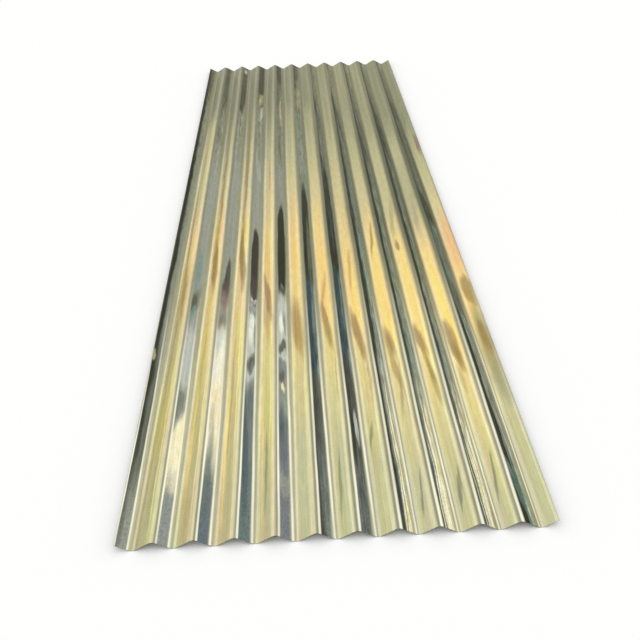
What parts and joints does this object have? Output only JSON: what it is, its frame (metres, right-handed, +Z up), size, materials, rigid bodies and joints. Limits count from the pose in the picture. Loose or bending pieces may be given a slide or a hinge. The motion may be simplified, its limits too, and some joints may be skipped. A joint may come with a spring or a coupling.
{
  "type": "corrugated metal sheet",
  "caption": "Galvanised steel sheet rolled into even rounded waves along its length, with both long edges turned up, for roofing, fences and cladding.",
  "frame": {"origin": "centre of the sheet's outline in plan, on the level plane that its troughs rest on", "axes": "+Y along the waves, the sheet's length; +X across the waves; +Z up, away from the floor"},
  "size_m": [0.8264, 3, 0.0186],
  "materials": {
    "galvanised_steel": "bright galvanised, with soft lengthwise rolling streaks"
  },
  "bodies": {
    "root": {"corrugated_sheet": "galvanised_steel"}
  },
  "joints": []
}
